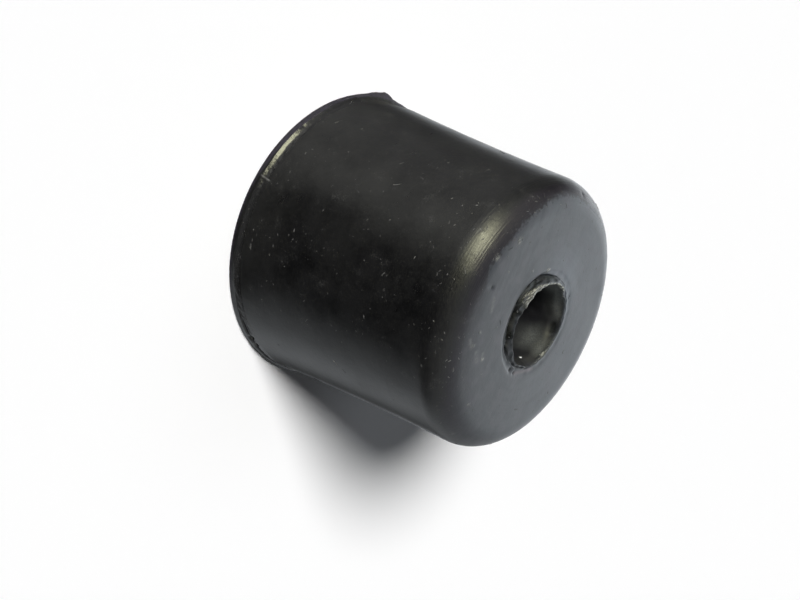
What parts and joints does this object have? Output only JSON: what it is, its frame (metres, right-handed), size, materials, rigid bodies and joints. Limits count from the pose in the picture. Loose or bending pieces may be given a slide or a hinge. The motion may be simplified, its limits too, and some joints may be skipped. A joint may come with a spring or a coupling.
{
  "type": "bump stop",
  "caption": "Rubber bump stop: a waisted, tapering body with a flared back lip, a rolled nose edge and a rod bore with a raised bead at its mouth.",
  "frame": {"origin": "centre of the flat back face, on the bore's axis", "axes": "+Z along the rod bore, from the wide back face up to the nose; X and Y are equal, because the body is round"},
  "size_m": [0.0374, 0.0374, 0.0314],
  "materials": {
    "black_rubber": "satin moulded black rubber, greyed and dusty on the nose face"
  },
  "bodies": {
    "root": {"rubber_body": "black_rubber"}
  },
  "joints": []
}
